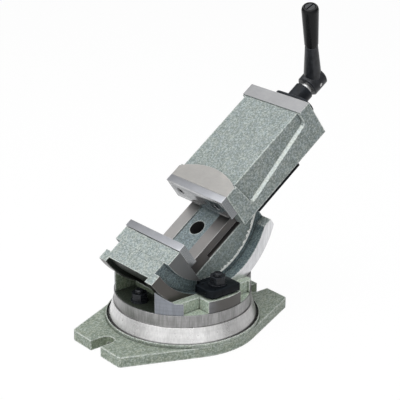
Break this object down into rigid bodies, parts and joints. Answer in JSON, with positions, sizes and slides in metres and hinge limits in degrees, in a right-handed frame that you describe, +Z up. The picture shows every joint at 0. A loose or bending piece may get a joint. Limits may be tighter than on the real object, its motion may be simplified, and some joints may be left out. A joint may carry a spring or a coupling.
{
  "type": "tilting machine vise",
  "caption": "Swivelling and tilting machine vise: round slotted base, cradle with side clamps, rocker bed with flat jaws, lead screw and turning crank grip.",
  "frame": {"origin": "middle of the base's flat underside, on the vertical swivel axis", "axes": "+Z up along the swivel axis; +X from the fixed jaw towards the crank end, along the base's length; +Y across the jaws, to the left side seen from the crank end"},
  "size_m": [0.3461, 0.184, 0.3701],
  "materials": {
    "grey_green_enamel": "mottled grey-green enamel on cast iron, machined faces left bare",
    "ground_steel": "ground",
    "blackened_steel": "black oxide",
    "bright_steel": "turned bright",
    "nut_bronze": "machined bronze",
    "black_plastic": "glossy moulded"
  },
  "bodies": {
    "base": {"base_plate": "grey_green_enamel", "pivot_pin": "bright_steel"},
    "swivel": {"swivel_plate": "grey_green_enamel", "tee_bolt_front": "blackened_steel", "tee_bolt_rear": "blackened_steel", "swivel_washer_front": "blackened_steel", "swivel_washer_rear": "blackened_steel", "swivel_nut_front": "blackened_steel", "swivel_nut_rear": "blackened_steel", "tilt_clamp_left": "blackened_steel", "tilt_clamp_right": "blackened_steel", "clamp_stud_left": "blackened_steel", "clamp_stud_right": "blackened_steel", "clamp_washer_left": "blackened_steel", "clamp_washer_right": "blackened_steel", "clamp_nut_left": "blackened_steel", "clamp_nut_right": "blackened_steel"},
    "rocker": {"vise_bed": "grey_green_enamel", "fixed_jaw_plate": "ground_steel", "fixed_plate_screw_left": "blackened_steel", "fixed_plate_screw_right": "blackened_steel", "feed_nut": "nut_bronze", "feed_nut_screw_front": "blackened_steel", "feed_nut_screw_rear": "blackened_steel"},
    "sliding_jaw": {"movable_jaw": "grey_green_enamel", "movable_jaw_plate": "ground_steel", "movable_plate_screw_left": "blackened_steel", "movable_plate_screw_right": "blackened_steel", "keeper_left": "blackened_steel", "keeper_right": "blackened_steel", "keeper_screw_front_left": "blackened_steel", "keeper_screw_front_right": "blackened_steel", "keeper_screw_rear_left": "blackened_steel", "keeper_screw_rear_right": "blackened_steel", "bearing_flange": "blackened_steel", "bearing_screw_left": "blackened_steel", "bearing_screw_right": "blackened_steel"},
    "screw_and_crank": {"lead_screw": "bright_steel", "crank_arm": "blackened_steel", "hub_pin": "bright_steel", "grip_bolt": "blackened_steel"},
    "grip_sleeve": {"grip": "black_plastic"}
  },
  "joints": [
    {"name": "swivel_turn", "type": "hinge", "parent": "base", "child": "swivel", "pos_m": [0, 0, 0.0332], "axis": [0, 0, 1], "continuous": true},
    {"name": "rocker_tilt", "type": "hinge", "parent": "swivel", "child": "rocker", "pos_m": [0, 0, 0.1476], "axis": [0, -1, 0], "range_deg": [-35.35, 54.65]},
    {"name": "jaw_slide", "type": "slide", "parent": "rocker", "child": "sliding_jaw", "axis": [0.8156, 0, 0.5786], "range_m": [-0.0647, 0.015]},
    {"name": "screw_turn", "type": "hinge", "parent": "sliding_jaw", "child": "screw_and_crank", "pos_m": [0.18147, 0, 0.2499], "axis": [0.8156, 0, 0.5786], "range_deg": [-5823, 1350]},
    {"name": "grip_turn", "type": "hinge", "parent": "screw_and_crank", "child": "grip_sleeve", "pos_m": [0.18304, -0.01478, 0.31507], "axis": [-0.3396, -0.264, 0.9028], "continuous": true}
  ],
  "couplings": [
    {"joint": "jaw_slide", "follows": "screw_turn", "m_per_rad": 0.00063662}
  ]
}
